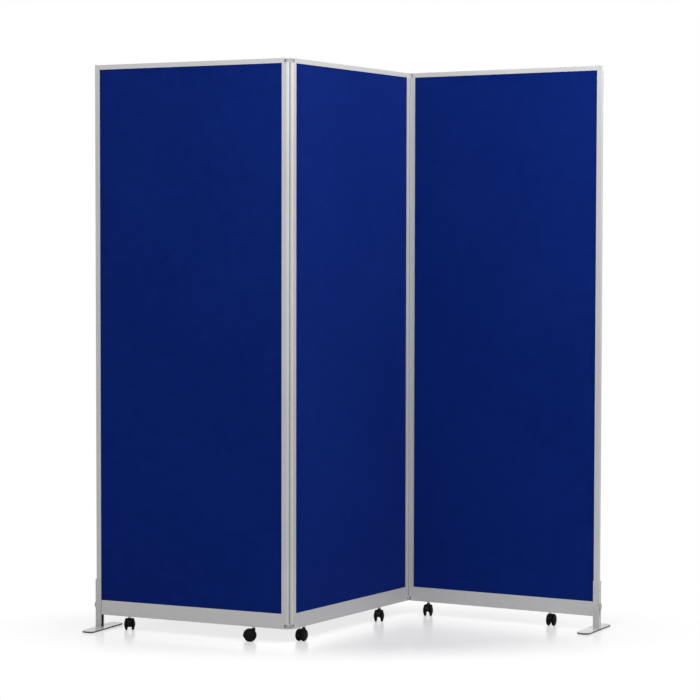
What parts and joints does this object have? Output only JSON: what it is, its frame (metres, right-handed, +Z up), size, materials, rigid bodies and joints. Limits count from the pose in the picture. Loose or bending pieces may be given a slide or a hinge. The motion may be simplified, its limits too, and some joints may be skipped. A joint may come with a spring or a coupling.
{
  "type": "rolling partition",
  "caption": "Free-standing folding partition of blue fabric panels in satin silver frames, hinged in a zigzag on small black twin-wheel casters, with a flat steel foot under each free end.",
  "frame": {"origin": "on the floor, in the middle of the box round the part", "axes": "+Z is up, -Y is the front that the picture shows, +X is to the right seen from the front"},
  "size_m": [1.6928, 0.5856, 1.8],
  "materials": {
    "frame_silver": "satin anodised",
    "kick_silver": "satin anodised",
    "corner_grey": "fine satin grain",
    "board": "raw fibreboard, covered",
    "blue_cloth": "plain weave, matt",
    "zinc": "zinc plated",
    "foot_steel": "fine grey powder coat",
    "caster_black": "moulded, low gloss",
    "black_rubber": "matt",
    "knob_grey": "fine grain"
  },
  "bodies": {
    "middle_panel": {"middle_left_stile": "frame_silver", "middle_right_stile": "frame_silver", "middle_top_rail": "frame_silver", "middle_kick_rail": "kick_silver", "middle_board": "board", "middle_fabric": "blue_cloth", "middle_corner_blocks": "corner_grey", "middle_caster_sockets": "zinc"},
    "left_link": {"left_hinge_links": "foot_steel", "left_hinge_pins": "zinc"},
    "left_panel": {"left_outer_stile": "frame_silver", "left_hinge_stile": "frame_silver", "left_top_rail": "frame_silver", "left_kick_rail": "kick_silver", "left_board": "board", "left_fabric": "blue_cloth", "left_corner_blocks": "corner_grey", "left_caster_sockets": "zinc"},
    "right_link": {"right_hinge_links": "foot_steel", "right_hinge_pins": "zinc"},
    "right_panel": {"right_hinge_stile": "frame_silver", "right_outer_stile": "frame_silver", "right_top_rail": "frame_silver", "right_kick_rail": "kick_silver", "right_board": "board", "right_fabric": "blue_cloth", "right_corner_blocks": "corner_grey", "right_caster_sockets": "zinc"},
    "caster_1": {"caster_1_body": "caster_black", "caster_1_pins": "zinc"},
    "wheel_1a": {"caster_1_wheel_a": "caster_black"},
    "wheel_1b": {"caster_1_wheel_b": "caster_black"},
    "caster_2": {"caster_2_body": "caster_black", "caster_2_pins": "zinc"},
    "wheel_2a": {"caster_2_wheel_a": "caster_black"},
    "wheel_2b": {"caster_2_wheel_b": "caster_black"},
    "caster_3": {"caster_3_body": "caster_black", "caster_3_pins": "zinc"},
    "wheel_3a": {"caster_3_wheel_a": "caster_black"},
    "wheel_3b": {"caster_3_wheel_b": "caster_black"},
    "caster_4": {"caster_4_body": "caster_black", "caster_4_pins": "zinc"},
    "wheel_4a": {"caster_4_wheel_a": "caster_black"},
    "wheel_4b": {"caster_4_wheel_b": "caster_black"},
    "caster_5": {"caster_5_body": "caster_black", "caster_5_pins": "zinc"},
    "wheel_5a": {"caster_5_wheel_a": "caster_black"},
    "wheel_5b": {"caster_5_wheel_b": "caster_black"},
    "caster_6": {"caster_6_body": "caster_black", "caster_6_pins": "zinc"},
    "wheel_6a": {"caster_6_wheel_a": "caster_black"},
    "wheel_6b": {"caster_6_wheel_b": "caster_black"},
    "left_foot": {"left_foot": "foot_steel", "left_foot_pad": "black_rubber"},
    "left_knob": {"left_foot_knob": "knob_grey"},
    "right_foot": {"right_foot": "foot_steel", "right_foot_pad": "black_rubber"},
    "right_knob": {"right_foot_knob": "knob_grey"}
  },
  "joints": [
    {"name": "left_hinge_inner", "type": "hinge", "parent": "middle_panel", "child": "left_link", "pos_m": [-0.17791, -0.28185, 0.923], "axis": [0, 0, 1], "range_deg": [-48.5, 85]},
    {"name": "left_hinge_outer", "type": "hinge", "parent": "left_link", "child": "left_panel", "pos_m": [-0.19185, -0.28584, 0.923], "axis": [0, 0, 1], "range_deg": [-48.5, 85]},
    {"name": "right_hinge_inner", "type": "hinge", "parent": "middle_panel", "child": "right_link", "pos_m": [0.19268, 0.28232, 0.923], "axis": [0, 0, 1], "range_deg": [-46.5, 87]},
    {"name": "right_hinge_outer", "type": "hinge", "parent": "right_link", "child": "right_panel", "pos_m": [0.20675, 0.28584, 0.923], "axis": [0, 0, 1], "range_deg": [-46.5, 87]},
    {"name": "swivel_1", "type": "hinge", "parent": "left_panel", "child": "caster_1", "pos_m": [-0.7002, -0.05094, 0.05], "axis": [0, 0, 1], "continuous": true},
    {"name": "spin_1a", "type": "hinge", "parent": "caster_1", "child": "wheel_1a", "pos_m": [-0.71216, -0.03915, 0.0195], "axis": [-0.9998, -0.0175, 0], "continuous": true},
    {"name": "spin_1b", "type": "hinge", "parent": "caster_1", "child": "wheel_1b", "pos_m": [-0.68866, -0.03874, 0.0195], "axis": [-0.9998, -0.0175, 0], "continuous": true},
    {"name": "swivel_2", "type": "hinge", "parent": "left_panel", "child": "caster_2", "pos_m": [-0.29624, -0.2376, 0.05], "axis": [0, 0, 1], "continuous": true},
    {"name": "spin_2a", "type": "hinge", "parent": "caster_2", "child": "wheel_2a", "pos_m": [-0.30602, -0.25126, 0.0195], "axis": [0.1736, -0.9848, 0], "continuous": true},
    {"name": "spin_2b", "type": "hinge", "parent": "caster_2", "child": "wheel_2b", "pos_m": [-0.3101, -0.22811, 0.0195], "axis": [0.1736, -0.9848, 0], "continuous": true},
    {"name": "swivel_3", "type": "hinge", "parent": "middle_panel", "child": "caster_3", "pos_m": [-0.14057, -0.22502, 0.05], "axis": [0, 0, 1], "continuous": true},
    {"name": "spin_3a", "type": "hinge", "parent": "caster_3", "child": "wheel_3a", "pos_m": [-0.13725, -0.24148, 0.0195], "axis": [0.8387, -0.5446, 0], "continuous": true},
    {"name": "spin_3b", "type": "hinge", "parent": "caster_3", "child": "wheel_3b", "pos_m": [-0.15696, -0.22868, 0.0195], "axis": [0.8387, -0.5446, 0], "continuous": true},
    {"name": "swivel_4", "type": "hinge", "parent": "middle_panel", "child": "caster_4", "pos_m": [0.10045, 0.1419, 0.05], "axis": [0, 0, 1], "continuous": true},
    {"name": "spin_4a", "type": "hinge", "parent": "caster_4", "child": "wheel_4a", "pos_m": [0.11088, 0.12874, 0.0195], "axis": [0.9945, -0.1045, 0], "continuous": true},
    {"name": "spin_4b", "type": "hinge", "parent": "caster_4", "child": "wheel_4b", "pos_m": [0.08751, 0.1312, 0.0195], "axis": [0.9945, -0.1045, 0], "continuous": true},
    {"name": "swivel_5", "type": "hinge", "parent": "right_panel", "child": "caster_5", "pos_m": [0.26645, 0.25329, 0.05], "axis": [0, 0, 1], "continuous": true},
    {"name": "spin_5a", "type": "hinge", "parent": "caster_5", "child": "wheel_5a", "pos_m": [0.27594, 0.23943, 0.0195], "axis": [0.9848, -0.1736, 0], "continuous": true},
    {"name": "spin_5b", "type": "hinge", "parent": "caster_5", "child": "wheel_5b", "pos_m": [0.2528, 0.24351, 0.0195], "axis": [0.9848, -0.1736, 0], "continuous": true},
    {"name": "swivel_6", "type": "hinge", "parent": "right_panel", "child": "caster_6", "pos_m": [0.65189, 0.04314, 0.05], "axis": [0, 0, 1], "continuous": true},
    {"name": "spin_6a", "type": "hinge", "parent": "caster_6", "child": "wheel_6a", "pos_m": [0.64631, 0.05898, 0.0195], "axis": [-0.9063, 0.4226, 0], "continuous": true},
    {"name": "spin_6b", "type": "hinge", "parent": "caster_6", "child": "wheel_6b", "pos_m": [0.66761, 0.04905, 0.0195], "axis": [-0.9063, 0.4226, 0], "continuous": true},
    {"name": "left_foot_slide", "type": "slide", "parent": "left_panel", "child": "left_foot", "axis": [0, 0, 1], "range_m": [0, 0.028]},
    {"name": "left_knob_turn", "type": "hinge", "parent": "left_panel", "child": "left_knob", "pos_m": [-0.81004, -0.00019, 0.077], "axis": [0.9078, -0.4195, 0], "continuous": true},
    {"name": "right_foot_slide", "type": "slide", "parent": "right_panel", "child": "right_foot", "axis": [0, 0, 1], "range_m": [0, 0.028]},
    {"name": "right_knob_turn", "type": "hinge", "parent": "right_panel", "child": "right_knob", "pos_m": [0.80466, -0.04015, 0.077], "axis": [-0.878, 0.4787, 0], "continuous": true}
  ]
}
